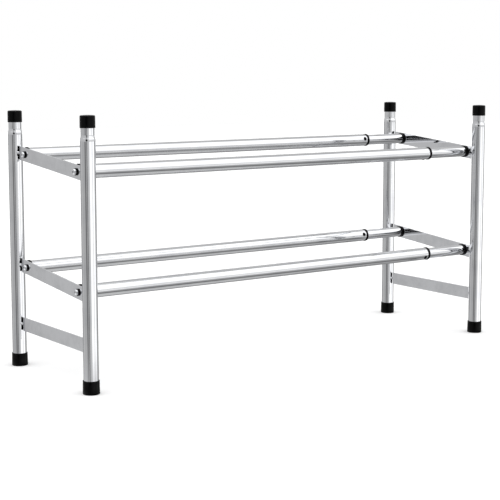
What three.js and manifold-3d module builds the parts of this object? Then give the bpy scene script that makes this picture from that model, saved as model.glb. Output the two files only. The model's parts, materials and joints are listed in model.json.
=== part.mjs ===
// A two-tier pull out shoe rack: two end frames of chromed tube, joined by four telescoping rails.
// Millimetres. +X runs along the rails to the half that slides, +Y to the back and +Z up.
// The origin is on the floor, under the middle of the rack.

import * as THREE from "three";
import { mergeVertices } from "three/addons/utils/BufferGeometryUtils.js";
import Module from "manifold-3d";

const wasm = await Module();
wasm.setup();

// The rack
const rackHeight = 360;
const frameDepth = 208; // between the centres of the front and rear uprights
const upperBarBelowTop = 67; // from the top of the rack to the middle of an upper cross bar
const lowerBarHeight = 136; // middle of the cross bar that carries the lower shelf
const stretcherHeight = 61;
const shelfDrop = 19.5; // fall of a shelf from the rear uprights to the front ones
const pulledOut = 74; // length of inner rail in view, from the bush to the end plug

// Clearances
const seatGap = 0.3; // between faces that bear on each other
const pressGap = 0.15; // round a piece that is pushed into a tube or onto one
const slideGap = 0.2; // round a piece that slides in a tube
const overrun = 1; // reach of a cut past the face it leaves by

// Uprights, swaged at the top so that the foot end of another rack drops over them
const uprightDiameter = 20;
const uprightWall = 1;
const stackClearance = 0.15; // round a neck in the bore of an upright stacked on it
const neckLength = 23.5;
const shoulderLength = 4;
const neckDiameter = uprightDiameter - 2 * (uprightWall + stackClearance);

// Push-on caps and feet
const capHeight = 16.5;
const capTop = 2.5;
const capEdge = 2; // radius round the top edge
const capCrown = 0.5; // rise of the top at its middle
const footHeight = 18;
const footFloor = 3;
const footWall = 0.8;
const footFlare = 0.3; // growth in radius from the rim to the sole
const footChamfer = 0.8;

// Cross bars: flat bar between the uprights, held at each end by a welded tongue
const barHeight = 19;
const barThickness = 2;
const barSlit = 5; // from the upright to the bar above and below the tongue
const tongueShare = 0.22; // of the bar's height
const weldRadius = 2.2; // of the bead, seen from the side of the bar
const weldWidth = 7; // of the bead, across the bar and its two faces
const railInset = 30; // from the centre of an upright to the axis of the rail beside it

// Rails
const outerRailDiameter = 19;
const outerRailLength = 606;
const innerRailLength = 520;
const railWall = 0.7;
const sleeveWall = 0.4; // of the bush, between the two tubes
const outerRailBore = outerRailDiameter - 2 * railWall;
const innerRailDiameter = outerRailBore - 2 * (pressGap + sleeveWall + slideGap);

// The bush in the mouth of an outer rail, which snaps into a hole in the tube
const bushFlange = 3;
const sleeveLength = 30;
const nubDiameter = 6;
const nubProud = 0.4;
const nubSetback = 6; // from the end of the tube to the middle of the nub
const nubLifts = { upper_rear: 15, upper_front: -105, lower_rear: 15, lower_front: -30 }; // degrees up from the front

// The guide on the hidden end of an inner rail, whose collar is stopped by the bush
const guideLength = 12;
const guideInsert = 14;
const guideWall = 2;

// End plugs, and the screws and washers that hold them to the cross bars
const plugFlange = 3;
const plugLip = 1;
const plugLength = 16;
const screwDiameter = 4.2;
const screwLength = 15;
const screwHoleClearance = 0.3;
const headDiameter = 8;
const headHeight = 2.8;
const headRimShare = 0.35; // of the head's height, straight before the dome starts
const washerDiameter = 9.6;
const washerThickness = 1.5;
const headSeat = seatGap + washerThickness + seatGap; // from the face of the bar to the head

// Steps round a circle, and along the curves
const roundSteps = 24;
const screwSteps = 16;
const shoulderSteps = 3;
const edgeSteps = 2;
const weldRings = 5;
const weldSides = 6;

// Places that several pieces share
const railStart = barThickness / 2 + seatGap + plugFlange + seatGap; // from the middle of a cross bar
const bushFace = railStart + outerRailLength + seatGap + bushFlange;
const frameSpan = bushFace + pulledOut + plugFlange + seatGap + barThickness / 2;
const railY = frameDepth / 2 - railInset;
const shelfSlope = shelfDrop / frameDepth;

const tiers = [
  { name: "upper", height: rackHeight - upperBarBelowTop },
  { name: "lower", height: lowerBarHeight },
];
const sides = [
  { name: "rear", sign: 1 },
  { name: "front", sign: -1 },
];

function chrome() {
  return new THREE.MeshStandardMaterial({ color: 0xd9dbde, roughness: 0.12, metalness: 1 });
}

function satinSteel() {
  return new THREE.MeshStandardMaterial({ color: 0xc4c6c9, roughness: 0.3, metalness: 1 });
}

function blackPlastic() {
  return new THREE.MeshStandardMaterial({ color: 0x17181a, roughness: 0.42, metalness: 0 });
}

// Turns a profile of [radius, height] pairs round the Z axis.
function turned(profile, steps = roundSteps) {
  const points = profile.map(([radius, height]) => new THREE.Vector2(radius, height));
  return new THREE.LatheGeometry(points, steps).rotateX(Math.PI / 2);
}

// A round rod along Z, from one height to another.
function rod(radius, from, to) {
  const geometry = new THREE.CylinderGeometry(radius, radius, to - from, roundSteps);
  return geometry.rotateX(Math.PI / 2).translate(0, 0, (from + to) / 2);
}

// A round pin that points to -Y, at a given height.
function frontPin(radius, from, to, height) {
  const geometry = new THREE.CylinderGeometry(radius, radius, to - from, screwSteps);
  return geometry.translate(0, -(from + to) / 2, height);
}

// A closed geometry as a solid that can be joined and cut.
function solidOf(geometry) {
  const bare = geometry.clone();
  bare.deleteAttribute("normal");
  bare.deleteAttribute("uv");
  const merged = mergeVertices(bare);
  const vertProperties = merged.getAttribute("position").array;
  const triVerts = new Uint32Array(merged.index.array);
  return new wasm.Manifold(new wasm.Mesh({ numProp: 3, vertProperties, triVerts }));
}

function geometryOf(solid) {
  const { vertProperties, triVerts } = solid.getMesh();
  const geometry = new THREE.BufferGeometry();
  geometry.setAttribute("position", new THREE.BufferAttribute(vertProperties, 3));
  geometry.setIndex(new THREE.BufferAttribute(triVerts, 1));
  geometry.computeVertexNormals();
  return geometry;
}

// A quarter round from the side of a turned piece to its end, as [radius, height] pairs.
function roundedEdge(sideRadius, endHeight, across, along) {
  const points = [];
  for (let i = 0; i <= edgeSteps; i++) {
    const angle = (i / edgeSteps) * (Math.PI / 2);
    points.push([
      sideRadius - across * (1 - Math.cos(angle)),
      endHeight - along * (1 - Math.sin(angle)),
    ]);
  }
  return points;
}

// An open tube whose top is drawn in to a neck through a smooth shoulder.
function uprightGeometry() {
  const bottom = footFloor + seatGap;
  const top = rackHeight - capTop - seatGap;
  const shoulderBottom = top - neckLength - shoulderLength;
  const outside = [];
  for (let i = 0; i <= shoulderSteps; i++) {
    const along = i / shoulderSteps;
    const drawnIn = ((uprightDiameter - neckDiameter) / 2) * (0.5 - 0.5 * Math.cos(along * Math.PI));
    outside.push([uprightDiameter / 2 - drawnIn, shoulderBottom + along * shoulderLength]);
  }
  outside.unshift([uprightDiameter / 2, bottom]);
  outside.push([neckDiameter / 2, top]);
  const inside = outside.map(([radius, height]) => [radius - uprightWall, height]).reverse();
  return turned([...outside, ...inside, outside[0]]);
}

// A cup pushed down over the neck.
function capGeometry() {
  const bore = neckDiameter / 2 + pressGap;
  const outer = uprightDiameter / 2;
  const bottom = rackHeight - capHeight;
  const ceiling = rackHeight - capTop;
  const shoulder = rackHeight - capCrown;
  return turned([
    [0, ceiling],
    [bore, ceiling],
    [bore, bottom],
    [outer, bottom],
    ...roundedEdge(outer, shoulder, capEdge, capEdge),
    [0, rackHeight],
  ]);
}

// A cup pushed up over the foot of the upright.
function footGeometry() {
  const bore = uprightDiameter / 2 + pressGap;
  const rim = bore + footWall;
  const sole = rim + footFlare;
  return turned([
    [0, 0],
    [sole - footChamfer, 0],
    [sole, footChamfer],
    [rim, footHeight],
    [bore, footHeight],
    [bore, footFloor],
    [0, footFloor],
  ]);
}

// A flat bar in the plane of the uprights. It falls to the front by the given drop, its ends stand
// upright, and a tongue in the middle of each end carries the weld.
function crossBarGeometry(drop, hasScrews) {
  const slope = drop / frameDepth;
  const reach = frameDepth / 2 - uprightDiameter / 2 - seatGap;
  const end = reach + seatGap - barSlit;
  const edge = barHeight / 2;
  const tongue = edge * tongueShare;
  const place = ([y, z]) => new THREE.Vector2(y, z + slope * y);
  const halfOutline = [[end, -edge], [end, -tongue], [reach, -tongue], [reach, tongue], [end, tongue], [end, edge]];
  const otherHalf = halfOutline.map(([y, z]) => [-y, -z]);
  const outline = new THREE.Shape([...halfOutline, ...otherHalf].map(place));
  if (hasScrews) {
    for (const { sign } of sides) {
      const centre = place([sign * railY, 0]);
      const hole = new THREE.Path();
      hole.absarc(centre.x, centre.y, screwDiameter / 2 + screwHoleClearance, 0, 2 * Math.PI);
      outline.holes.push(hole);
    }
  }
  const curveSegments = screwSteps / 2; // an arc has two points for each of them
  const plate = new THREE.ExtrudeGeometry(outline, { depth: barThickness, bevelEnabled: false, curveSegments });
  // From the plane of the outline to the plane of the frame
  plate.translate(0, 0, -barThickness / 2).rotateX(Math.PI / 2).rotateZ(Math.PI / 2);
  let bar = solidOf(plate);
  for (const { sign } of sides) {
    bar = bar.add(solidOf(weldGeometry(sign * reach, slope * sign * reach)));
  }
  for (const { sign } of sides) {
    const room = rod(uprightDiameter / 2 + seatGap, -rackHeight, rackHeight);
    bar = bar.subtract(solidOf(room.translate(0, (sign * frameDepth) / 2, 0)));
  }
  return geometryOf(bar);
}

// A bead of weld over the end of a tongue, wide enough to lap onto both faces of the bar.
function weldGeometry(y, z) {
  const bead = new THREE.SphereGeometry(weldRadius, weldSides, weldRings);
  return bead.scale(weldWidth / (2 * weldRadius), 1, 1).translate(0, y, z);
}

// The tube fixed to the left frame, with the hole for the nub of its bush.
function outerRailGeometry() {
  const tube = turned(tubeProfile(outerRailDiameter / 2, outerRailLength));
  const reach = outerRailDiameter / 2 + overrun;
  const hole = frontPin(nubDiameter / 2 + pressGap, 0, reach, outerRailLength - nubSetback);
  return geometryOf(solidOf(tube).subtract(solidOf(hole)));
}

function innerRailGeometry() {
  return turned(tubeProfile(innerRailDiameter / 2, innerRailLength));
}

function tubeProfile(radius, length) {
  const bore = radius - railWall;
  return [[bore, 0], [radius, 0], [radius, length], [bore, length], [bore, 0]];
}

// A flanged sleeve, with a nub that snaps into the tube. Its zero is the end of the outer rail.
function bushGeometry() {
  const flange = outerRailDiameter / 2;
  const sleeve = outerRailBore / 2 - pressGap;
  const face = seatGap + bushFlange;
  const blank = turned([
    [0, -sleeveLength],
    [sleeve, -sleeveLength],
    [sleeve, seatGap],
    [flange, seatGap],
    [flange, face],
    [0, face],
  ]);
  const nub = frontPin(nubDiameter / 2, 0, flange + nubProud, -nubSetback);
  const bore = rod(innerRailDiameter / 2 + slideGap, -sleeveLength - overrun, face + overrun);
  return geometryOf(solidOf(blank).add(solidOf(nub)).subtract(solidOf(bore)));
}

// A hollow plug in the end of an inner rail. Its zero is that end, and its collar lies beyond it.
function guideGeometry() {
  const collar = outerRailBore / 2 - slideGap;
  const insert = innerRailDiameter / 2 - railWall - pressGap;
  const bore = insert - guideWall;
  const end = seatGap + guideLength;
  const profile = [
    [bore, -guideInsert],
    [insert, -guideInsert],
    [insert, seatGap],
    [collar, seatGap],
    [collar, end],
    [bore, end],
    [bore, -guideInsert],
  ];
  return turned(profile, screwSteps);
}

// A flanged plug with a bore for its screw. Its zero is the face that meets the cross bar.
function plugGeometry(railDiameter) {
  const bore = screwDiameter / 2 + pressGap;
  const body = railDiameter / 2 - railWall - pressGap;
  const lip = railDiameter / 2 + plugLip;
  const end = plugFlange + plugLength;
  return turned([
    [bore, 0],
    [lip, 0],
    [lip, plugFlange],
    [body, plugFlange],
    [body, end],
    [bore, end],
    [bore, 0],
  ]);
}

// A pan head screw. Its zero is the outer face of the cross bar, and its head lies above the washer.
function screwGeometry() {
  const shank = screwDiameter / 2;
  const head = headDiameter / 2;
  const top = headSeat + headHeight;
  const dome = headHeight * (1 - headRimShare);
  const profile = [[0, -screwLength], [shank, -screwLength], [shank, headSeat], [head, headSeat]];
  return turned([...profile, ...roundedEdge(head, top, head, dome)], screwSteps);
}

// The washer between the cross bar and the head.
function washerGeometry() {
  const bore = screwDiameter / 2 + screwHoleClearance;
  const rim = washerDiameter / 2;
  const top = seatGap + washerThickness;
  return turned([[bore, seatGap], [rim, seatGap], [rim, top], [bore, top], [bore, seatGap]], screwSteps);
}

function piece(name, geometry, material) {
  const mesh = new THREE.Mesh(geometry, material);
  mesh.name = name;
  return mesh;
}

// The two uprights of one end, with their caps and feet, and the three cross bars between them.
function endFrame(end) {
  const frame = new THREE.Group();
  for (const { name, sign } of sides) {
    const leg = new THREE.Group();
    leg.position.y = (sign * frameDepth) / 2;
    leg.add(piece(`${end}_${name}_upright`, uprightGeometry(), chrome()));
    leg.add(piece(`${end}_${name}_cap`, capGeometry(), blackPlastic()));
    leg.add(piece(`${end}_${name}_foot`, footGeometry(), blackPlastic()));
    frame.add(leg);
  }
  for (const { name, height } of tiers) {
    const bar = piece(`${end}_${name}_bar`, crossBarGeometry(shelfDrop, true), chrome());
    bar.position.z = height;
    frame.add(bar);
  }
  const stretcher = piece(`${end}_stretcher`, crossBarGeometry(0, false), chrome());
  stretcher.position.z = stretcherHeight;
  frame.add(stretcher);
  return frame;
}

// What one end holds on the axis of one rail. In this group +Z runs along the rail from the cross
// bar to the middle of the rack.
function railSet(end, place, railDiameter, pieces) {
  const set = new THREE.Group();
  const screw = piece(`${place}_${end}_screw`, screwGeometry(), satinSteel());
  const washer = piece(`${place}_${end}_washer`, washerGeometry(), blackPlastic());
  for (const fixing of [screw, washer]) {
    fixing.rotation.x = Math.PI;
    fixing.position.z = -barThickness / 2;
  }
  const plug = piece(`${place}_${end}_plug`, plugGeometry(railDiameter), blackPlastic());
  plug.position.z = barThickness / 2 + seatGap;
  set.add(screw, washer, plug, ...pieces);
  return set;
}

function outerRailSet(place) {
  const roll = -THREE.MathUtils.degToRad(nubLifts[place]);
  const rail = piece(`${place}_outer_rail`, outerRailGeometry(), chrome());
  rail.position.z = railStart;
  rail.rotation.z = roll;
  const bush = piece(`${place}_bush`, bushGeometry(), blackPlastic());
  bush.position.z = railStart + outerRailLength;
  bush.rotation.z = roll;
  const set = railSet("left", place, outerRailDiameter, [rail, bush]);
  set.rotation.y = Math.PI / 2;
  return set;
}

function innerRailSet(place) {
  const rail = piece(`${place}_inner_rail`, innerRailGeometry(), chrome());
  rail.position.z = railStart;
  const guide = piece(`${place}_guide`, guideGeometry(), blackPlastic());
  guide.position.z = railStart + innerRailLength;
  const set = railSet("right", place, innerRailDiameter, [rail, guide]);
  set.rotation.y = -Math.PI / 2;
  return set;
}

// One half of the rack: an end frame, and what it holds on the axes of the four rails.
function rackHalf(end, x, railSetAt) {
  const half = new THREE.Group();
  half.position.x = x;
  half.add(endFrame(end));
  for (const tier of tiers) {
    for (const side of sides) {
      const y = side.sign * railY;
      const set = railSetAt(`${tier.name}_${side.name}`);
      set.position.set(0, y, tier.height + shelfSlope * y);
      half.add(set);
    }
  }
  return half;
}

const rack = new THREE.Group();
rack.add(rackHalf("left", -frameSpan / 2, outerRailSet));
rack.add(rackHalf("right", frameSpan / 2, innerRailSet));

export default rack;
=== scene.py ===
import json
import math

import bmesh
import bpy
from mathutils import Matrix, Vector


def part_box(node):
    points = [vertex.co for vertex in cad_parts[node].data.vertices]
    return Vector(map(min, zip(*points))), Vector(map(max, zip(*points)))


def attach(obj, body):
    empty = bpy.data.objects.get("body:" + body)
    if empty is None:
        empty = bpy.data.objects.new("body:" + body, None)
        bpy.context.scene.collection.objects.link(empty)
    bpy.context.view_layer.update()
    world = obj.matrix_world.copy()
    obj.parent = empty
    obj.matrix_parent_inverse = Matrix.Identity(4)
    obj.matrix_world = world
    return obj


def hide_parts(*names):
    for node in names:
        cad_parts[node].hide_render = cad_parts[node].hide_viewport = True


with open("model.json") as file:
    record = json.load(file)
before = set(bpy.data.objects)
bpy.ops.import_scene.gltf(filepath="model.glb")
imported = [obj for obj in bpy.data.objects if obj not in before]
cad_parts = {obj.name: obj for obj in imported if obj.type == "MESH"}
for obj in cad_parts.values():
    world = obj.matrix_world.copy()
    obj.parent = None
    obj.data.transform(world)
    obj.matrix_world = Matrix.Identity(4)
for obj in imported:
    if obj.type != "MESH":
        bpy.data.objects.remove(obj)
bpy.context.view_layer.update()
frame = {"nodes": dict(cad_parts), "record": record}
print("stage: frame loaded,", len(frame["nodes"]), "nodes")

mm = 0.001
near = 0.01  # two places this close are the same, mm
mergeWithin = 0.002  # two corners this close become one, mm
ends = {"left": -1, "right": 1}  # sign of X of each end frame
sides = {"rear": 1, "front": -1}  # sign of Y of each row of uprights
tiers = ("upper", "lower")
bodyOf = {node: body for body, nodes in frame["record"]["behaviour"]["bodies"].items() for node in nodes}


# How long a piece of the CAD frame is along an axis, in millimetres
def sizeAlong(node, axis):
    low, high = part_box(node)
    return (high["xyz".index(axis)] - low["xyz".index(axis)]) / mm


# The middle of a piece of the CAD frame
def middleOf(node):
    low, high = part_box(node)
    return (Vector(low) + Vector(high)) / 2


# Leaves edit mode with nothing selected, so that an operator acts only on what is picked next
def dropSelection():
    if bpy.context.object and bpy.context.object.mode != "OBJECT":
        bpy.ops.object.mode_set(mode="OBJECT")
    bpy.ops.object.select_all(action="DESELECT")


# Selects one object alone and makes it active
def takeUp(piece):
    dropSelection()
    piece.select_set(True)
    bpy.context.view_layer.objects.active = piece


# Opens a piece in edit mode, with corners as what is picked
def openPiece(piece):
    takeUp(piece)
    bpy.ops.object.mode_set(mode="EDIT")
    bpy.ops.mesh.select_mode(type="VERT")


# Picks the corners whose place passes the test, with the edges and faces between them
def pickCorners(piece, test):
    mesh = bmesh.from_edit_mesh(piece.data)
    for corner in mesh.verts:
        corner.select = bool(test(corner.co))
    mesh.select_flush_mode()
    bmesh.update_edit_mesh(piece.data)


# Picks the edges whose two corners both pass the test
def pickEdges(piece, test):
    bpy.ops.mesh.select_all(action="DESELECT")
    bpy.ops.mesh.select_mode(type="EDGE")
    mesh = bmesh.from_edit_mesh(piece.data)
    for edge in mesh.edges:
        edge.select = all(test(corner.co) for corner in edge.verts)
    bmesh.update_edit_mesh(piece.data)


def finishWith(piece, kind, values):
    modifier = piece.modifiers.new(kind.title(), kind)
    for name, value in values.items():
        setattr(modifier, name, value)
    takeUp(piece)
    bpy.ops.object.modifier_apply(modifier=modifier.name)


# Cuts a piece with a tool, or joins the two, and throws the tool away. A cut face takes the tool's material.
def combine(piece, tool, operation):
    finishWith(piece, "BOOLEAN", {
        "operation": operation, "object": tool, "solver": "EXACT", "material_mode": "TRANSFER"})
    bpy.data.objects.remove(tool)


# Puts a piece somewhere else for good, so that its object is at the origin again
def moveInto(piece, place):
    piece.matrix_world = place
    takeUp(piece)
    bpy.ops.object.transform_apply(location=True, rotation=True, scale=True)


# Turns a profile of (radius, height) pairs, in millimetres, round Z: one ring is extruded and resized
# from pair to pair. A first or last radius of 0 closes it to a point.
def turnProfile(name, profile, steps):
    startsClosed = profile[0][0] == 0
    rings = profile[1:] if startsClosed else profile
    radius, height = rings[0]
    dropSelection()
    bpy.ops.mesh.primitive_circle_add(
        vertices=steps, radius=radius * mm, location=(0, 0, height * mm),
        fill_type="TRIFAN" if startsClosed else "NOTHING")
    piece = bpy.context.active_object
    piece.name = name
    bpy.ops.object.transform_apply(location=True, rotation=False, scale=False)
    openPiece(piece)
    pickCorners(piece, lambda place: math.hypot(place.x, place.y) > radius * mm / 2)
    for nextRadius, nextHeight in rings[1:]:
        bpy.ops.mesh.extrude_region_move(TRANSFORM_OT_translate={"value": (0, 0, (nextHeight - height) * mm)})
        if nextRadius == 0:
            bpy.ops.mesh.merge(type="CENTER")
            break
        growth = nextRadius / radius
        bpy.ops.transform.resize(value=(growth, growth, 1), center_override=(0, 0, nextHeight * mm))
        radius, height = nextRadius, nextHeight
    bpy.ops.mesh.select_all(action="SELECT")
    bpy.ops.mesh.remove_doubles(threshold=mergeWithin * mm)
    bpy.ops.mesh.normals_make_consistent(inside=False)
    bpy.ops.object.mode_set(mode="OBJECT")
    return piece


# Rounds the ring of edges at a radius and height of a turned piece
def roundRing(piece, radius, height, rounding, steps):
    openPiece(piece)
    pickEdges(piece, lambda place: (
        abs(math.hypot(place.x, place.y) / mm - radius) < near and abs(place.z / mm - height) < near))
    bpy.ops.mesh.bevel(offset=rounding * mm, segments=steps, affect="EDGES")
    bpy.ops.object.mode_set(mode="OBJECT")


# A block given by its size and its middle in millimetres, with the edges along one axis rounded
def roundedBlock(size, middle, axis, rounding, steps):
    dropSelection()
    bpy.ops.mesh.primitive_cube_add(size=1)
    block = bpy.context.active_object
    block.scale = Vector(size) * mm
    bpy.ops.object.transform_apply(location=False, rotation=False, scale=True)
    openPiece(block)
    bpy.ops.mesh.select_mode(type="EDGE")
    mesh = bmesh.from_edit_mesh(block.data)
    for edge in mesh.edges:
        along = edge.verts[1].co - edge.verts[0].co
        edge.select = abs(along["xyz".index(axis)]) > along.length / 2
    bmesh.update_edit_mesh(block.data)
    bpy.ops.mesh.bevel(offset=rounding * mm, segments=steps, affect="EDGES")
    bpy.ops.object.mode_set(mode="OBJECT")
    moveInto(block, Matrix.Translation(Vector(middle) * mm))
    return block


# A round tool that runs along X or Z
def roundTool(radius, length, place, axis, steps):
    dropSelection()
    turn = (0, math.pi / 2, 0) if axis == "x" else (0, 0, 0)
    bpy.ops.mesh.primitive_cylinder_add(
        vertices=steps, radius=radius, depth=length, location=place, rotation=turn)
    tool = bpy.context.active_object
    bpy.ops.object.transform_apply(location=True, rotation=True, scale=True)
    return tool


def shadeSmooth(piece, degrees=32):
    takeUp(piece)
    bpy.ops.object.shade_smooth_by_angle(angle=math.radians(degrees))


def giveMaterial(piece, material):
    piece.data.materials.clear()
    piece.data.materials.append(material)


# Gives the faces that look to the axis of a turned piece another material
def giveInside(piece, material):
    facingIn = -0.5  # the cosine of 120 degrees from straight out, so flat rims keep their material
    piece.data.materials.append(material)
    for face in piece.data.polygons:
        outward = Vector((face.center.x, face.center.y, 0))
        if face.normal.dot(outward) < facingIn * outward.length:
            face.material_index = len(piece.data.materials) - 1


# Puts a copy of a model in its place, with its own mesh, rides it on the body of the part it stands for, and
# hides that part
def setPiece(model, name, place, node):
    piece = model.copy()
    piece.data = model.data.copy()
    piece.name = piece.data.name = name
    bpy.context.scene.collection.objects.link(piece)
    moveInto(piece, place)
    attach(piece, bodyOf[node])
    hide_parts(node)
    return piece


def discard(*models):
    for model in models:
        bpy.data.objects.remove(model)


# The linear colour of an sRGB hex value
def linearColour(hexValue):
    channels = []
    for start in (1, 3, 5):
        value = int(hexValue[start:start + 2], 16) / 255
        channels.append(value / 12.92 if value <= 0.04045 else ((value + 0.055) / 1.055) ** 2.4)
    return (*channels, 1.0)


def grey(level):
    return (level, level, level, 1.0)


# Adds a node, sets its properties and sockets, and links each socket given as (node, output)
def addNode(tree, kind, values=None, sockets=None, stops=None):
    node = tree.nodes.new(kind)
    for name, value in (values or {}).items():
        setattr(node, name, value)
    for name, value in (sockets or {}).items():
        if isinstance(value, tuple) and isinstance(value[0], bpy.types.Node):
            tree.links.new(value[0].outputs[value[1]], node.inputs[name])
        else:
            node.inputs[name].default_value = value
    if stops:
        ramp = node.color_ramp
        while len(ramp.elements) < len(stops):
            ramp.elements.new(0.5)
        for element, (position, colour) in zip(ramp.elements, stops):
            element.position = position
            element.color = colour
    return node


def emptyMaterial(name):
    material = bpy.data.materials.new(name)
    material.use_nodes = True
    material.node_tree.nodes.clear()
    return material, material.node_tree


# A noise pattern over a piece
def addNoise(tree, place, scale, detail, fineness=0.5):
    return addNode(tree, "ShaderNodeTexNoise", sockets={
        "Vector": place, "Scale": scale, "Detail": detail, "Roughness": fineness})


# A ramp from one hex colour to another over a span of a pattern
def addTone(tree, source, span, colours):
    return addNode(tree, "ShaderNodeValToRGB", sockets={"Fac": source}, stops=[
        (position, linearColour(colour)) for position, colour in zip(span, colours)])


# Roughness from one value to another over a span of a pattern
def addGloss(tree, source, span, roughness):
    return addNode(tree, "ShaderNodeMapRange", sockets={
        "Value": source, "From Min": span[0], "From Max": span[1],
        "To Min": roughness[0], "To Max": roughness[1]})


# The surface and the material's output. The relief is a pattern with its strength and its height in
# millimetres, and the values are those of the shader that are the same all over.
def addSurface(tree, tone, gloss, relief, values):
    pattern, strength, height = relief
    bump = addNode(tree, "ShaderNodeBump", sockets={
        "Height": (pattern, "Fac"), "Strength": strength, "Distance": height * mm})
    shader = addNode(tree, "ShaderNodeBsdfPrincipled", sockets={
        "Base Color": (tone, "Color"), "Roughness": (gloss, "Result"), "Normal": (bump, "Normal"), **values})
    addNode(tree, "ShaderNodeOutputMaterial", sockets={"Surface": (shader, "BSDF")})


# What the chrome on tube and strip shares: the spans of its patterns that become tone and gloss, their
# detail and their strength
chromeLook = {
    "toneSpan": (0.35, 0.6), "glossSpan": (0.12, 0.42), "waveStrength": 1.0,
    "drawnDetail": 2.0, "polishDetail": 3.0, "hazeDetail": 4.0, "hazeFineness": 0.6,
}

# Bright chrome over polished steel tube: a hard, nearly neutral mirror. The steel was drawn along its
# length and its polish is never quite flat, so the lines in it waver a little and haze over in places.
tubeLook = {
    "colours": ("#D9DADD", "#E2E3E5"), "roughness": (0.03, 0.07),  # dull to bright, clear to hazed
    "drawnWidth": 5.0, "drawnLength": 170.0,  # of the waves left by drawing, mm
    "polishWidth": 0.6, "polishLength": 45.0,  # polishing marks, drawn far coarser than the real ones, mm
    "waveHeight": 0.006, "hazeSize": 38.0,
}

# The same chrome over cold rolled strip, sheared to width: flatter than the tube and so a little sharper
# as a mirror, with the fine lines of rolling.
stripLook = {
    "colours": ("#D4D5D8", "#DEDFE2"), "roughness": (0.02, 0.05),
    "drawnWidth": 4.0, "drawnLength": 120.0,
    "polishWidth": 0.7, "polishLength": 18.0,
    "waveHeight": 0.002, "hazeSize": 24.0,
}


def makeChrome(name, look, along):
    shared = chromeLook
    material, tree = emptyMaterial(name)
    place = addNode(tree, "ShaderNodeTexCoord")

    # A pattern drawn out along the piece
    def stretched(width, length, detail):
        scale = [1 / (width * mm)] * 3
        scale["xyz".index(along)] = 1 / (length * mm)
        drawnOut = addNode(tree, "ShaderNodeMapping", sockets={"Vector": (place, "Object"), "Scale": scale})
        return addNoise(tree, (drawnOut, "Vector"), 1.0, detail)

    drawn = stretched(look["drawnWidth"], look["drawnLength"], shared["drawnDetail"])
    marks = stretched(look["polishWidth"], look["polishLength"], shared["polishDetail"])
    haze = addNoise(tree, (place, "Object"), 1 / (look["hazeSize"] * mm), shared["hazeDetail"],
                    shared["hazeFineness"])
    both = addNode(tree, "ShaderNodeMath", {"operation": "MULTIPLY"}, {0: (haze, "Fac"), 1: (marks, "Fac")})
    tone = addTone(tree, (haze, "Fac"), shared["toneSpan"], look["colours"])
    gloss = addGloss(tree, (both, "Value"), shared["glossSpan"], look["roughness"])
    addSurface(tree, tone, gloss, (drawn, shared["waveStrength"], look["waveHeight"]), {"Metallic": 1.0})
    return material


# The bore of the tube, which the plating bath hardly reached: grey steel, matt, with patches of
# scale. Its grey is darkened further as painted shade, so that the slots in the uprights and the bores read
# as dark gaps.
boreLook = {
    "colours": ("#3C3D40", "#242426"), "toneSpan": (0.38, 0.62), "roughness": (0.5, 0.75),
    "patchSize": 3.0, "patchDetail": 4.0,
    "grainSize": 0.5, "grainDetail": 2.0, "grainHeight": 0.02, "grainStrength": 0.6,
    "values": {"Specular IOR Level": 0.2},
}

# Black polyethylene, injection moulded in a fine spark-eroded mould: almost without colour, a soft
# gloss, an even fine grain, and a slightly glossier skin where it flowed fast.
plasticLook = {
    "colours": ("#020202", "#050506"), "toneSpan": (0.4, 0.72), "roughness": (0.17, 0.27),
    "patchSize": 9.0, "patchDetail": 3.0,
    "grainSize": 0.35, "grainDetail": 2.0,  # the real grain is finer; it is drawn this coarse to show, mm
    "grainHeight": 0.015, "grainStrength": 0.35,
    "values": {"Specular IOR Level": 0.09},
}

# Zinc plated steel, cold headed: bright but softer than chrome, with a slightly mottled grey bloom.
zincLook = {
    "colours": ("#E4E5E7", "#C9CBCF"), "toneSpan": (0.35, 0.7), "roughness": (0.12, 0.24),
    "patchSize": 1.8, "patchDetail": 3.0,
    "grainSize": 0.3, "grainDetail": 1.0, "grainHeight": 0.008, "grainStrength": 0.5,
    "values": {"Metallic": 1.0},
}


# A surface whose tone and gloss change together in soft patches, under a fine even grain
def makePatchy(name, look):
    glossSpan = (0.3, 0.7)  # the noise seldom leaves it
    material, tree = emptyMaterial(name)
    place = (addNode(tree, "ShaderNodeTexCoord"), "Object")
    patches = addNoise(tree, place, 1 / (look["patchSize"] * mm), look["patchDetail"])
    grain = addNoise(tree, place, 1 / (look["grainSize"] * mm), look["grainDetail"])
    tone = addTone(tree, (patches, "Fac"), look["toneSpan"], look["colours"])
    gloss = addGloss(tree, (patches, "Fac"), glossSpan, look["roughness"])
    addSurface(tree, tone, gloss, (grain, look["grainStrength"], look["grainHeight"]), look["values"])
    return material


chromeUpright = makeChrome("chromed_tube_upright", tubeLook, "z")
chromeRail = makeChrome("chromed_tube_rail", tubeLook, "x")
chromeBar = makeChrome("chromed_flat_bar", stripLook, "y")
# The bore material: matt steel whose dark colour is partly painted shade inside the tubes and slots
boreSteelAndShade = makePatchy("bore_steel_painted_shade", boreLook)
blackPlastic = makePatchy("moulded_black_polyethylene", plasticLook)
platedSteel = makePatchy("zinc_plated_steel", zincLook)
print("stage: materials made")


uprightShape = {
    "radius": sizeAlong("left_rear_upright", "x") / 2, "length": sizeAlong("left_rear_upright", "z"),
    "wall": 1.0, "neckRadius": 8.85,
    "shoulderBelowTop": 30.9,
    # The shoulder, as height above its start and how much of the draw-in is done there
    "shoulder": ((1.0, 0.008), (1.8, 0.028), (2.6, 0.07), (3.2, 0.125), (3.5, 0.17), (4.2, 0.42), (4.5, 0.5),
                 (5.5, 0.68), (6.5, 0.86), (7.0, 0.95), (7.3, 0.985), (7.6, 1.0)),
    "rimRounding": 0.3, "rimSteps": 2, "holdingRing": 0.8, "steps": 96,
    "slotWidth": 3.1, "slotHeight": 18.4, "slotRounding": 0.9, "slotSteps": 4, "slotDepth": 6.0,
}


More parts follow.
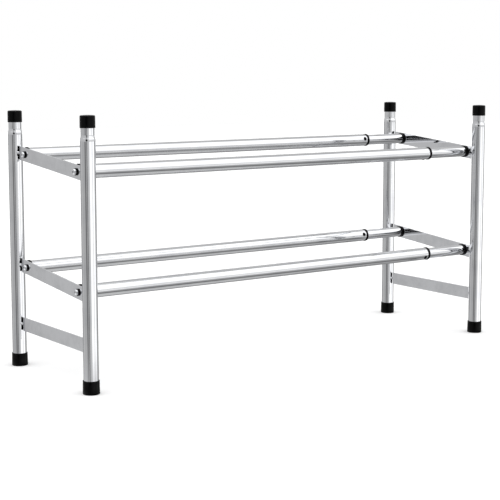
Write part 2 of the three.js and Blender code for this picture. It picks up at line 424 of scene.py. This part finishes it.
# Tube with its zero at the lower end, drawn in at the top: a rounded bend, a steep step, then a long
# slope into the neck. It is slotted on the side that faces the bars, where each of their tongues goes in.
def modelUpright(name, facing, slotHeights):
    shape = uprightShape
    radius, neck, wall, length = shape["radius"], shape["neckRadius"], shape["wall"], shape["length"]
    start = length - shape["shoulderBelowTop"]
    hold = shape["holdingRing"]
    outside = [(radius, 0), (radius, hold), (radius, start - hold), (radius, start)]
    outside += [(radius - (radius - neck) * share, start + height) for height, share in shape["shoulder"]]
    outside += [(neck, outside[-1][1] + hold), (neck, length - hold), (neck, length)]
    inside = [(r - wall, h) for r, h in reversed(outside)]
    model = turnProfile(name, outside + inside + outside[:1], shape["steps"])
    for r, h in ((radius, 0), (radius - wall, 0), (neck, length), (neck - wall, length)):
        roundRing(model, r, h, shape["rimRounding"], shape["rimSteps"])
    giveMaterial(model, chromeUpright)
    # The inner faces take the darkened bore steel, partly painted shade inside the tube
    giveInside(model, boreSteelAndShade)
    for height in slotHeights:
        slot = roundedBlock((shape["slotWidth"], shape["slotDepth"], shape["slotHeight"]),
                            (0, facing * radius, height), "y", shape["slotRounding"], shape["slotSteps"])
        # The slot's cut faces take the darkened bore steel, painted shade that makes each slot a dark gap
        giveMaterial(slot, boreSteelAndShade)
        combine(model, slot, "DIFFERENCE")
    shadeSmooth(model)
    return model


capShape = {
    "radius": sizeAlong("left_rear_cap", "x") / 2, "height": sizeAlong("left_rear_cap", "z"),
    "bore": 9.0, "roof": 2.5, "taper": 0.12, "crown": 0.45, "topRounding": 1.7, "topSteps": 6,
    "lipRounding": 0.3, "lipSteps": 2, "holdingRing": 0.5, "crownRings": 5, "steps": 96,
}


# Push-on cap with a faintly domed top, its zero at the open end
def modelCap():
    shape = capShape
    radius, bore, height = shape["radius"], shape["bore"], shape["height"]
    ceiling = height - shape["roof"]
    topRadius = radius - shape["taper"]
    shoulder = height - shape["crown"]
    hold = shape["holdingRing"]
    profile = [(0, ceiling), (bore, ceiling), (bore, 0), (radius, 0), (radius, hold), (topRadius, shoulder)]
    flat = topRadius - shape["topRounding"] - hold
    for i in range(shape["crownRings"]):
        share = 1 - i / shape["crownRings"]
        profile.append((flat * share, shoulder + shape["crown"] * (1 - share ** 2)))
    profile.append((0, height))
    model = turnProfile("capModel", profile, shape["steps"])
    roundRing(model, topRadius, shoulder, shape["topRounding"], shape["topSteps"])
    for r in (bore, radius):
        roundRing(model, r, 0, shape["lipRounding"], shape["lipSteps"])
    shadeSmooth(model)
    giveMaterial(model, blackPlastic)
    return model


footShape = {
    "sole": sizeAlong("left_rear_foot", "x") / 2, "height": sizeAlong("left_rear_foot", "z"),
    "flare": 0.3, "bore": 10.15, "floor": 3.0,
    "rimRounding": 0.3, "rimSteps": 2, "soleRounding": 1.1, "soleSteps": 4,
    "recessRadius": 7.6, "recessDepth": 0.9, "ribTop": 0.15, "ribs": ((5.6, 4.8), (2.8, 2.0)), "steps": 96,
}


# Push-on foot, its sole recessed in the middle with two grip rings, its zero at the sole
def modelFoot():
    shape = footShape
    depth, top, sole = shape["recessDepth"], shape["ribTop"], shape["sole"]
    rim = sole - shape["flare"]
    profile = [(0, depth)]
    for outer, inner in reversed(shape["ribs"]):
        profile += [(inner, depth), (inner, top), (outer, top), (outer, depth)]
    profile += [(shape["recessRadius"], depth), (shape["recessRadius"], 0), (sole, 0), (rim, shape["height"]),
                (shape["bore"], shape["height"]), (shape["bore"], shape["floor"]), (0, shape["floor"])]
    model = turnProfile("footModel", profile, shape["steps"])
    roundRing(model, sole, 0, shape["soleRounding"], shape["soleSteps"])
    for r in (rim, shape["bore"]):
        roundRing(model, r, shape["height"], shape["rimRounding"], shape["rimSteps"])
    shadeSmooth(model)
    giveMaterial(model, blackPlastic)
    return model


railAxis = {(tier, side): middleOf(f"{tier}_{side}_inner_rail") for tier in tiers for side in sides}
uprightY = middleOf("left_rear_upright").y
upperRear, upperFront = railAxis["upper", "rear"], railAxis["upper", "front"]
shelfSlope = (upperRear.z - upperFront.z) / (upperRear.y - upperFront.y)
barHeights = {"upper_bar": middleOf("left_upper_bar").z, "lower_bar": middleOf("left_lower_bar").z,
              "stretcher": middleOf("left_stretcher").z}

capModel = modelCap()
footModel = modelFoot()
for side, sideSign in sides.items():
    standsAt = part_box(f"left_{side}_upright")[0][2]
    slotY = sideSign * (uprightY - uprightShape["radius"] * mm)
    slotHeights = []
    for bar, height in barHeights.items():
        slope = 0 if bar == "stretcher" else shelfSlope
        slotHeights.append((height + slope * slotY - standsAt) / mm)
    uprightModel = modelUpright(f"{side}UprightModel", -sideSign, slotHeights)
    for end in ends:
        middle = middleOf(f"{end}_{side}_upright")
        for kind, model, slot in (
                ("upright", uprightModel, "chromed_tube"), ("cap", capModel, "black_plastic"),
                ("foot", footModel, "black_plastic")):
            node = f"{end}_{side}_{kind}"
            place = Matrix.Translation((middle.x, middle.y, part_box(node)[0][2]))
            setPiece(model, f"{kind}_{end}_{side}", place, node)
    discard(uprightModel)
discard(capModel, footModel)
print("stage: uprights, caps and feet set")


barShape = {
    "height": 19.0, "thickness": 2.0, "slit": 5.0, "seat": 0.3, "tongueShare": 0.22,
    "edgeRounding": 0.35, "edgeSteps": 3, "edgeAngle": 30,  # sharper edges are rounded, degrees
    "holeRadius": 2.4, "holeSteps": 48, "flatWeight": 50,
    "holeToolShare": 4, "tubeToolShare": 5,  # lengths of the tools, in thicknesses and heights of the bar
    "weldRadius": 2.2, "weldWidth": 7.0, "weldSteps": 40, "weldRings": 24,
    "weldRipple": 0.2, "weldRippleSize": 1.5, "weldRippleMiddle": 0.6,
}


# A bead of weld: a ball drawn out across the bar to lap onto both its faces, ruffled as the pool set
def modelWeld(y, z):
    shape = barShape
    dropSelection()
    bpy.ops.mesh.primitive_uv_sphere_add(
        segments=shape["weldSteps"], ring_count=shape["weldRings"],
        radius=shape["weldRadius"] * mm, location=(0, y, z))
    weld = bpy.context.active_object
    bpy.ops.object.transform_apply(location=True, rotation=False, scale=False)
    openPiece(weld)
    bpy.ops.mesh.select_all(action="SELECT")
    growth = shape["weldWidth"] / (2 * shape["weldRadius"])
    bpy.ops.transform.resize(value=(growth, 1, 1), center_override=(0, y, z))
    bpy.ops.object.mode_set(mode="OBJECT")
    ripple = bpy.data.textures.new("weldRipple", "CLOUDS")
    ripple.noise_scale = shape["weldRippleSize"] * mm
    finishWith(weld, "DISPLACE", {
        "texture": ripple, "texture_coords": "LOCAL", "strength": shape["weldRipple"] * mm,
        "mid_level": shape["weldRippleMiddle"]})
    return weld


# A flat bar between two uprights, with its middle at zero: it falls to the front by a slope, narrows
# to a tongue at each end, and carries a weld bead there
def modelBar(name, slope, holeYs):
    shape = barShape
    height, thickness = shape["height"] * mm, shape["thickness"] * mm
    tubeRadius = uprightShape["radius"] * mm
    reach = uprightY - tubeRadius - shape["seat"] * mm
    end = uprightY - tubeRadius - shape["slit"] * mm
    tongue = height / 2 * shape["tongueShare"]
    dropSelection()
    bpy.ops.mesh.primitive_cube_add(size=1)
    bar = bpy.context.active_object
    bar.name = name
    bar.scale = (thickness, 2 * end, height)
    bpy.ops.object.transform_apply(location=False, rotation=False, scale=True)
    openPiece(bar)
    for level in (-tongue, tongue):
        bpy.ops.mesh.select_all(action="SELECT")
        bpy.ops.mesh.bisect(plane_co=(0, 0, level), plane_no=(0, 0, 1))
    for sign in (-1, 1):  # the tongue is drawn out of the middle of each end
        pickCorners(bar, lambda place: place.y * sign > end - near * mm and abs(place.z) < tongue + near * mm)
        bpy.ops.mesh.extrude_region_move(TRANSFORM_OT_translate={"value": (0, sign * (reach - end), 0)})
    for level in (-reach, -end, end, reach):  # and the bar is sloped, one end at a time
        pickCorners(bar, lambda place: abs(place.y - level) < near * mm)
        bpy.ops.transform.translate(value=(0, 0, slope * level))
    bpy.ops.mesh.select_all(action="SELECT")
    bpy.ops.mesh.normals_make_consistent(inside=False)
    bpy.ops.object.mode_set(mode="OBJECT")
    finishWith(bar, "BEVEL", {
        "width": shape["edgeRounding"] * mm, "segments": shape["edgeSteps"],
        "limit_method": "ANGLE", "angle_limit": math.radians(shape["edgeAngle"])})
    giveMaterial(bar, chromeBar)
    for y in holeYs:
        hole = roundTool(shape["holeRadius"] * mm, shape["holeToolShare"] * thickness, (0, y, slope * y), "x",
                         shape["holeSteps"])
        giveMaterial(hole, chromeBar)
        combine(bar, hole, "DIFFERENCE")
    for sign in (-1, 1):
        weld = modelWeld(sign * reach, slope * sign * reach)
        giveMaterial(weld, chromeBar)
        combine(bar, weld, "UNION")
        tube = roundTool(tubeRadius, shape["tubeToolShare"] * height, (0, sign * uprightY, 0), "z",
                         uprightShape["steps"])
        giveMaterial(tube, chromeBar)
        combine(bar, tube, "DIFFERENCE")
    shadeSmooth(bar)
    finishWith(bar, "WEIGHTED_NORMAL", {"keep_sharp": True, "weight": shape["flatWeight"]})
    return bar


slopedModel = modelBar("slopedBarModel", shelfSlope, (upperRear.y, upperFront.y))
levelModel = modelBar("levelBarModel", 0, ())
for end in ends:
    for tier in tiers:
        node = f"{end}_{tier}_bar"
        setPiece(slopedModel, f"bar_{end}_{tier}", Matrix.Translation(middleOf(node)), node)
    node = f"{end}_stretcher"
    setPiece(levelModel, f"stretcher_{end}", Matrix.Translation(middleOf(node)), node)
discard(slopedModel, levelModel)
print("stage: cross bars and stretchers set")


railShape = {
    "outerRadius": sizeAlong("upper_rear_outer_rail", "y") / 2,
    "innerRadius": sizeAlong("upper_rear_inner_rail", "y") / 2,
    "outerLength": sizeAlong("upper_rear_outer_rail", "x"),
    "innerLength": sizeAlong("upper_rear_inner_rail", "x"),
    "wall": 0.7, "rimRounding": 0.2, "mouthRounding": 0.1, "rimSteps": 2, "holdingRing": 0.7,
    # The mouth of the outer rail is rolled in, ever steeper to its lip
    "mouthLength": 2.6, "mouthInset": 0.5, "mouthPower": 1.5, "mouthRings": 6,
    "nubHole": 3.15, "nubSetback": 6.0, "nubSteps": 40, "steps": 96,
}


# Plain tube along Z, with rounded rims and a rolled-in mouth where it is asked for
def modelRail(name, radius, length, hasMouth):
    shape = railShape
    wall, hold = shape["wall"], shape["holdingRing"]
    outside = [(radius, 0), (radius, hold)]
    if hasMouth:
        start = length - shape["mouthLength"]
        outside.append((radius, start - hold))
        for i in range(shape["mouthRings"] + 1):
            along = i / shape["mouthRings"]
            inset = shape["mouthInset"] * along ** shape["mouthPower"]
            outside.append((radius - inset, start + shape["mouthLength"] * along))
    else:
        outside += [(radius, length - hold), (radius, length)]
    rim = outside[-1][0]
    bore = radius - wall
    inside = [(bore, length), (bore, length - hold), (bore, hold), (bore, 0)]
    rail = turnProfile(name, outside + inside + outside[:1], shape["steps"])
    for r, h in ((radius, 0), (bore, 0), (rim, length), (bore, length)):
        isLip = hasMouth and h == length
        roundRing(rail, r, h, shape["mouthRounding"] if isLip else shape["rimRounding"], shape["rimSteps"])
    giveMaterial(rail, chromeRail)
    # The rail's inner faces take the darkened bore steel, partly painted shade inside the tube
    giveInside(rail, boreSteelAndShade)
    return rail


toFront = Matrix.Rotation(math.pi / 2, 4, "X")  # turns +Z to the front


# A round tool from the axis of a rail out to its front, at a distance along it
def frontTool(radius, length, along, steps):
    tool = roundTool(radius * mm, length * mm, (0, 0, length * mm / 2), "z", steps)
    moveInto(tool, Matrix.Translation((0, 0, along * mm)) @ toFront)
    return tool


bushShape = {
    "flange": sizeAlong("upper_rear_bush", "y") / 2, "seat": 0.3, "flangeLength": 3.0,
    "sleeve": 8.65, "bore": 8.25, "sleeveLength": 30.0,
    "flangeRounding": 0.45, "boreRounding": 0.2, "roundingSteps": 3, "steps": 96,
    "nubRadius": 3.0, "nubTop": 9.9, "nubRounding": 0.6, "nubSetback": 6.0, "nubSteps": 40,
}


# Flanged sleeve with a snap nub to the front; its zero is the end of the outer rail
def modelBush():
    shape = bushShape
    flange, sleeve, bore, seat = shape["flange"], shape["sleeve"], shape["bore"], shape["seat"]
    face = seat + shape["flangeLength"]
    tip = -shape["sleeveLength"]
    profile = [(bore, tip), (sleeve, tip), (sleeve, seat), (flange, seat), (flange, face), (bore, face),
               (bore, tip)]
    bush = turnProfile("bushModel", profile, shape["steps"])
    for r, h, rounding in ((flange, seat, shape["flangeRounding"]), (flange, face, shape["flangeRounding"]),
                           (bore, face, shape["boreRounding"])):
        roundRing(bush, r, h, rounding, shape["roundingSteps"])
    side, top, base = shape["nubRadius"], shape["nubTop"], (bore + sleeve) / 2
    nub = turnProfile("nubModel", [(0, base), (side, base), (side, top), (0, top)], shape["nubSteps"])
    roundRing(nub, side, top, shape["nubRounding"], shape["roundingSteps"])
    moveInto(nub, Matrix.Translation((0, 0, -shape["nubSetback"] * mm)) @ toFront)
    giveMaterial(bush, blackPlastic)
    giveMaterial(nub, blackPlastic)
    combine(bush, nub, "UNION")
    shadeSmooth(bush)
    return bush


guideShape = {
    "insert": 7.2, "collar": 8.6, "bore": 5.2, "insertLength": 14.0, "seat": 0.3, "collarLength": 12.0,
    "grooves": (3.2, 6.3, 9.4), "grooveWidth": 0.8, "grooveDepth": 0.5,
    "collarRounding": 0.4, "insertRounding": 0.5, "roundingSteps": 3, "steps": 72,
}


# Hollow guide with a grooved collar; its zero is the end of the inner rail
def modelGuide():
    shape = guideShape
    bore, insert, collar, seat = shape["bore"], shape["insert"], shape["collar"], shape["seat"]
    end, tip = seat + shape["collarLength"], -shape["insertLength"]
    groove = collar - shape["grooveDepth"]
    profile = [(bore, tip), (insert, tip), (insert, seat), (collar, seat)]
    for middle in shape["grooves"]:
        start, stop = (seat + middle + side * shape["grooveWidth"] / 2 for side in (-1, 1))
        profile += [(collar, start), (groove, start), (groove, stop), (collar, stop)]
    profile += [(collar, end), (bore, end), (bore, tip)]
    guide = turnProfile("guideModel", profile, shape["steps"])
    roundRing(guide, collar, end, shape["collarRounding"], shape["roundingSteps"])
    roundRing(guide, insert, tip, shape["insertRounding"], shape["roundingSteps"])
    shadeSmooth(guide)
    giveMaterial(guide, blackPlastic)
    return guide


outerModel = modelRail("outerRailModel", railShape["outerRadius"], railShape["outerLength"], True)
snapHole = frontTool(railShape["nubHole"], 2 * railShape["outerRadius"],
                     railShape["outerLength"] - railShape["nubSetback"], railShape["nubSteps"])
giveMaterial(snapHole, chromeRail)
combine(outerModel, snapHole, "DIFFERENCE")
shadeSmooth(outerModel)
innerModel = modelRail("innerRailModel", railShape["innerRadius"], railShape["innerLength"], False)
shadeSmooth(innerModel)
bushModel = modelBush()
guideModel = modelGuide()

# How far up from the front each nub is turned, in degrees
nubLift = {("upper", "rear"): 15, ("upper", "front"): -105, ("lower", "rear"): 15, ("lower", "front"): -30}
alongX = Matrix.Rotation(math.pi / 2, 4, "Y")  # turns +Z to +X
againstX = Matrix.Rotation(-math.pi / 2, 4, "Y")  # turns +Z to -X


# A place on the axis of a rail
def onAxis(axis, x):
    return Matrix.Translation((x, axis.y, axis.z))


for (tier, side), axis in railAxis.items():
    rail = f"{tier}_{side}"
    lift = Matrix.Rotation(-math.radians(nubLift[tier, side]), 4, "Z")
    outerLow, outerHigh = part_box(f"{rail}_outer_rail")
    innerLow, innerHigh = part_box(f"{rail}_inner_rail")
    for model, kind, place, slot in (
            (outerModel, "outer_rail", onAxis(axis, outerLow[0]) @ alongX @ lift, "chromed_tube"),
            (bushModel, "bush", onAxis(axis, outerHigh[0]) @ alongX @ lift, "black_plastic"),
            (innerModel, "inner_rail", onAxis(axis, innerHigh[0]) @ againstX, "chromed_tube"),
            (guideModel, "guide", onAxis(axis, innerLow[0]) @ againstX, "black_plastic")):
        setPiece(model, f"{kind}_{rail}", place, f"{rail}_{kind}")
discard(outerModel, innerModel, bushModel, guideModel)
print("stage: rails, bushes and guides set")


plugShape = {
    "flangeLength": 3.0, "lip": 1.0, "bodyLength": 16.0, "bore": 2.25, "gap": 0.85,
    "flangeRounding": 0.6, "roundingSteps": 4, "steps": 96,
    # The grooves between the ribs, and in shares of their pitch: the plain end of the body, where the
    # first groove starts, and where a groove reaches its depth, leaves it and ends
    "ribs": 4, "ribDepth": 0.4, "plainEndShare": 0.5, "grooveFromShare": 0.55,
    "grooveShares": (0.1, 0.35, 0.45),
}


# Flanged plug with a ribbed body; its zero is the face against the cross bar
def modelPlug(name, railRadius):
    shape = plugShape
    flange = railRadius + shape["lip"]
    body = railRadius - shape["gap"]
    valley = body - shape["ribDepth"]
    start, length = shape["flangeLength"], shape["bodyLength"]
    profile = [(shape["bore"], 0), (flange, 0), (flange, start), (body, start)]
    pitch = length / (shape["ribs"] + shape["plainEndShare"])
    down, up, end = (share * pitch for share in shape["grooveShares"])
    for i in range(shape["ribs"]):
        at = start + (i + shape["grooveFromShare"]) * pitch
        profile += [(body, at), (valley, at + down), (valley, at + up), (body, at + end)]
    profile += [(body, start + length), (shape["bore"], start + length), (shape["bore"], 0)]
    plug = turnProfile(name, profile, shape["steps"])
    for h in (0, start):
        roundRing(plug, flange, h, shape["flangeRounding"], shape["roundingSteps"])
    shadeSmooth(plug)
    giveMaterial(plug, blackPlastic)
    return plug


screwShape = {
    "headRadius": 4.0, "headHeight": 2.8, "rimShare": 0.3, "domeRings": 8, "domePower": 0.8,
    "shankRadius": 2.1, "shankLength": 15.3, "pointShare": 0.35, "pointLength": 1.2,
    "threadPitch": 1.6, "threadDepth": 0.45, "threadWidthShare": 0.6,
    "recessWidth": 1.25, "recessSpan": 4.6, "recessDepth": 1.9, "recessTaper": 0.55,
    "recessRounding": 0.2, "recessSteps": 2, "steps": 64,
}


# Pan head screw with a cross recess and a thread of ridges; its zero is the underside of the head
def modelScrew():
    shape = screwShape
    shank, head, top = shape["shankRadius"], shape["headRadius"], shape["headHeight"]
    length, pitch = shape["shankLength"], shape["threadPitch"]
    width, depth, taper = pitch * shape["threadWidthShare"], shape["recessDepth"], shape["recessTaper"]
    valley = shank - shape["threadDepth"]
    profile = [(0, -length), (shank * shape["pointShare"], -length)]
    height = -length + shape["pointLength"]
    while height < -pitch:
        profile += [(valley, height), (shank, height + width / 2), (valley, height + width)]
        height += pitch
    profile += [(shank, -pitch / 2), (shank, 0), (head, 0)]
    rim = top * shape["rimShare"]
    for i in range(shape["domeRings"]):
        angle = i / shape["domeRings"] * math.pi / 2
        profile.append((head * math.cos(angle) ** shape["domePower"], rim + (top - rim) * math.sin(angle)))
    profile.append((0, top))
    screw = turnProfile("screwModel", profile, shape["steps"])
    giveMaterial(screw, platedSteel)
    for turn in (0, math.pi / 2):
        arm = roundedBlock((shape["recessSpan"], shape["recessWidth"], 2 * depth), (0, 0, 0), "z",
                           shape["recessRounding"], shape["recessSteps"])
        openPiece(arm)
        pickCorners(arm, lambda place: place.z < 0)
        bpy.ops.transform.resize(value=(taper, taper, 1), center_override=(0, 0, -depth * mm))
        bpy.ops.object.mode_set(mode="OBJECT")
        moveInto(arm, Matrix.Translation((0, 0, top * mm)) @ Matrix.Rotation(turn, 4, "Z"))
        giveMaterial(arm, platedSteel)
        combine(screw, arm, "DIFFERENCE")
    shadeSmooth(screw)
    return screw


washerShape = {
    "radius": 4.8, "bore": 2.4, "thickness": 1.5, "rounding": 0.35, "roundingSteps": 3, "steps": 64,
}


# Plain washer, its zero the face against the cross bar
def modelWasher():
    shape = washerShape
    rim, bore, top = shape["radius"], shape["bore"], shape["thickness"]
    profile = [(bore, 0), (rim, 0), (rim, top), (bore, top), (bore, 0)]
    washer = turnProfile("washerModel", profile, shape["steps"])
    for h in (0, top):
        roundRing(washer, rim, h, shape["rounding"], shape["roundingSteps"])
    shadeSmooth(washer)
    giveMaterial(washer, blackPlastic)
    return washer


plugModels = {
    "left": modelPlug("outerPlugModel", railShape["outerRadius"]),
    "right": modelPlug("innerPlugModel", railShape["innerRadius"]),
}
screwModel = modelScrew()
washerModel = modelWasher()
screwTurns = iter((17, 62, 38, 5, 71, 49, 26, 80))  # degrees: each screw was driven home at its own turn
for end, endSign in ends.items():
    inward, outward = (alongX, againstX) if end == "left" else (againstX, alongX)
    for (tier, side), axis in railAxis.items():
        place = f"{tier}_{side}_{end}"
        plugBox, washerBox, screwBox = (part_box(f"{place}_{kind}") for kind in ("plug", "washer", "screw"))
        # The sides that look away from the middle of the rack, and to it
        outer, inner = (0, 1) if end == "left" else (1, 0)
        seat = screwBox[outer][0] - endSign * screwShape["headHeight"] * mm
        turn = Matrix.Rotation(math.radians(next(screwTurns)), 4, "Z")
        for model, kind, x, stance, slot in (
                (plugModels[end], "plug", plugBox[outer][0], inward, "black_plastic"),
                (washerModel, "washer", washerBox[inner][0], outward, "black_plastic"),
                (screwModel, "screw", seat, outward @ turn, "plated_steel")):
            setPiece(model, f"{kind}_{place}", onAxis(axis, x) @ stance, f"{place}_{kind}")
discard(*plugModels.values(), screwModel, washerModel)
print("stage: plugs, screws and washers set")


# The camera is the one that fits the uprights, rails and bars of the photo. Its lens is shifted down a
# little, because the uprights there stand almost parallel.
studio = {
    "floorSize": 12.0, "floorColour": "#FFFFFF", "floorRoughness": 0.8,
    "white": 1.54,  # of the light tent in the reflections
    "cameraAzimuth": -35.642, "cameraElevation": 7.112,  # degrees
    "cameraPlace": (-1.16505, -1.59826, 0.4247), "focalPixels": 1337.4, "framePixels": 500,
    "sensorWidth": 36.0, "shiftPixels": -20,
}

# What the upright faces mirror of the light tent, by compass direction from +X, 90 at the back: a dark
# flag to the left and a lesser one at the back, white walls at the front and the right front, and grey
# card elsewhere
tentBand = (
    (-180, 0.33), (-168, 0.29), (-162, 0.10), (-154, 0.10), (-148, 0.26), (-140, 0.33), (-122, 0.39),
    (-107, 0.42), (-99, 0.55), (-90, 1.0), (-70, 1.0), (-62, 0.74), (-46, 0.74), (-38, 1.0), (-22, 1.0),
    (-14, 0.45), (-6, 0.26), (20, 0.26), (40, 0.37), (95, 0.37), (102, 0.16), (110, 0.16), (117, 0.39),
    (136, 0.39), (146, 0.33), (172, 0.33), (180, 0.33),
)
# The heights at which the tent is like that. Elsewhere it goes by height, from -1 straight down to 1
# straight up, in each quarter.
tentBandHeight = ((-0.25, 0.0), (-0.21, 1.0), (-0.05, 1.0), (-0.03, 0.0))
tentRightFront = (
    (-1.0, 0.42), (-0.82, 0.43), (-0.79, 0.37), (-0.74, 0.33), (-0.69, 0.135), (-0.58, 0.135), (-0.52, 0.24),
    (-0.42, 0.28), (-0.34, 0.40), (-0.22, 0.41), (-0.12, 0.475), (-0.02, 0.49), (0.08, 0.64), (0.18, 0.68),
    (0.27, 0.93), (0.32, 1.0),
)
tentRightRear = (
    (-1.0, 0.42), (-0.82, 0.42), (-0.77, 0.21), (-0.2, 0.21), (0.0, 0.40), (0.56, 0.41), (0.8, 0.38),
    (0.84, 0.6), (0.9, 1.0),
)
tentLeftFront = (
    (-1.0, 0.3), (-0.5, 0.32), (-0.3, 0.36), (-0.2, 0.4), (-0.02, 0.4), (0.45, 0.42), (0.65, 1.0),
)
tentLeftRear = (
    (-1.0, 0.4), (-0.5, 0.75), (-0.3, 0.75), (-0.2, 0.4), (-0.02, 0.4), (0.4, 0.42), (0.55, 1.0),
)
# How much of a direction is in the rear half and in the left half, by compass
tentRear = ((-180, 1.0), (-176, 0.0), (-8, 0.0), (4, 1.0))
tentLeft = ((-103, 1.0), (-98, 0.0), (94, 0.0), (99, 1.0))
# The dark shape of the camera and its hood, which shows as a dot under each upright's shoulder: from side
# to side by compass, from foot to top by height
tentCameraSides = ((-152, 0.0), (-147, 1.0), (-123, 1.0), (-118, 0.0))
tentCameraHeight = ((-0.03, 0.0), (0.0, 1.0), (0.24, 1.0), (0.28, 0.0))
tentDark = 0.005
# A tall narrow dark flag near the camera, left out of the rear half: from side to side by the X of a
# direction, from foot to top by its height
tentFlagSides = ((-0.725, 0.0), (-0.715, 1.0), (-0.645, 1.0), (-0.63, 0.0))
tentFlagHeight = ((-0.54, 0.0), (-0.5, 1.0), (0.6, 1.0), (0.68, 0.0))


def lightTent():
    world = bpy.data.worlds.new("light_tent")
    bpy.context.scene.world = world
    world.use_nodes = True
    tree = world.node_tree
    tree.nodes.clear()
    direction = addNode(tree, "ShaderNodeTexCoord")
    parts = addNode(tree, "ShaderNodeSeparateXYZ", sockets={0: (direction, "Generated")})
    compass = addNode(tree, "ShaderNodeMath", {"operation": "ARCTAN2"}, {0: (parts, "Y"), 1: (parts, "X")})

    # Levels of grey along something that runs from -limit to limit
    def levelsBy(source, unit, limit, levels):
        share = addNode(tree, "ShaderNodeMapRange", sockets={
            "Value": source, "From Min": -limit * unit, "From Max": limit * unit,
            "To Min": 0.0, "To Max": 1.0})
        stops = [((value + limit) / (2 * limit), grey(level)) for value, level in levels]
        return addNode(tree, "ShaderNodeValToRGB", sockets={"Fac": (share, "Result")}, stops=stops)

    def byCompass(levels):
        return levelsBy((compass, "Value"), math.radians(1), 180, levels)

    def byHeight(levels):
        return levelsBy((parts, "Z"), 1, 1, levels)

    def blended(share, first, second):
        return addNode(tree, "ShaderNodeMix", {"data_type": "RGBA"}, {
            "Factor": (share, "Color"), 6: first, 7: second})

    rear, left, band = byCompass(tentRear), byCompass(tentLeft), byHeight(tentBandHeight)
    rightHalf = blended(rear, (byHeight(tentRightFront), "Color"), (byHeight(tentRightRear), "Color"))
    leftHalf = blended(rear, (byHeight(tentLeftFront), "Color"), (byHeight(tentLeftRear), "Color"))
    walls = blended(left, (rightHalf, 2), (leftHalf, 2))
    surround = blended(band, (walls, 2), (byCompass(tentBand), "Color"))
    hood = addNode(tree, "ShaderNodeMath", {"operation": "MULTIPLY"}, {
        0: (byCompass(tentCameraSides), "Color"), 1: (byHeight(tentCameraHeight), "Color")})
    bothFlags = addNode(tree, "ShaderNodeMath", {"operation": "MULTIPLY"}, {
        0: (levelsBy((parts, "X"), 1, 1, tentFlagSides), "Color"), 1: (byHeight(tentFlagHeight), "Color")})
    flag = addNode(tree, "ShaderNodeMath", {"operation": "SUBTRACT", "use_clamp": True}, {
        0: (bothFlags, "Value"), 1: (rear, "Color")})
    hidden = addNode(tree, "ShaderNodeMath", {"operation": "MAXIMUM"}, {
        0: (hood, "Value"), 1: (flag, "Value")})
    tone = addNode(tree, "ShaderNodeMix", {"data_type": "RGBA"}, {
        "Factor": (hidden, "Value"), 6: (surround, 2), 7: grey(tentDark)})
    tent = addNode(tree, "ShaderNodeBackground", sockets={"Color": (tone, 2), "Strength": studio["white"]})
    paper = addNode(tree, "ShaderNodeBackground", sockets={"Color": grey(1.0), "Strength": 1.0})
    ray = addNode(tree, "ShaderNodeLightPath")
    seen = addNode(tree, "ShaderNodeMixShader", sockets={
        0: (ray, "Is Camera Ray"), 1: (tent, "Background"), 2: (paper, "Background")})
    addNode(tree, "ShaderNodeOutputWorld", sockets={"Surface": (seen, "Shader")})


dropSelection()
bpy.ops.mesh.primitive_plane_add(size=studio["floorSize"])
floor = bpy.context.active_object
floor.name = "floor"
floorMaterial, floorTree = emptyMaterial("matt_white_board")
floorShader = addNode(floorTree, "ShaderNodeBsdfPrincipled", sockets={
    "Base Color": linearColour(studio["floorColour"]), "Roughness": studio["floorRoughness"],
    "Specular IOR Level": 0.0})
addNode(floorTree, "ShaderNodeOutputMaterial", sockets={"Surface": (floorShader, "BSDF")})
giveMaterial(floor, floorMaterial)
floor.visible_glossy = False  # the tubes mirror the light tent alone
lightTent()

azimuth, elevation = math.radians(studio["cameraAzimuth"]), math.radians(studio["cameraElevation"])
back = Vector((
    math.sin(azimuth) * math.cos(elevation), -math.cos(azimuth) * math.cos(elevation), math.sin(elevation)))
right = Vector((math.cos(azimuth), math.sin(azimuth), 0))
up = back.cross(right)
cameraData = bpy.data.cameras.new("camera")
cameraData.sensor_width = studio["sensorWidth"]
cameraData.lens = studio["focalPixels"] / studio["framePixels"] * studio["sensorWidth"]
cameraData.shift_y = studio["shiftPixels"] / studio["framePixels"]
camera = bpy.data.objects.new("camera", cameraData)
bpy.context.scene.collection.objects.link(camera)
facing = Matrix((right, up, back)).transposed().to_4x4()
camera.matrix_world = Matrix.Translation(studio["cameraPlace"]) @ facing
bpy.context.scene.camera = camera
bpy.context.scene.view_settings.view_transform = "Standard"
print("stage: floor, light and camera set")
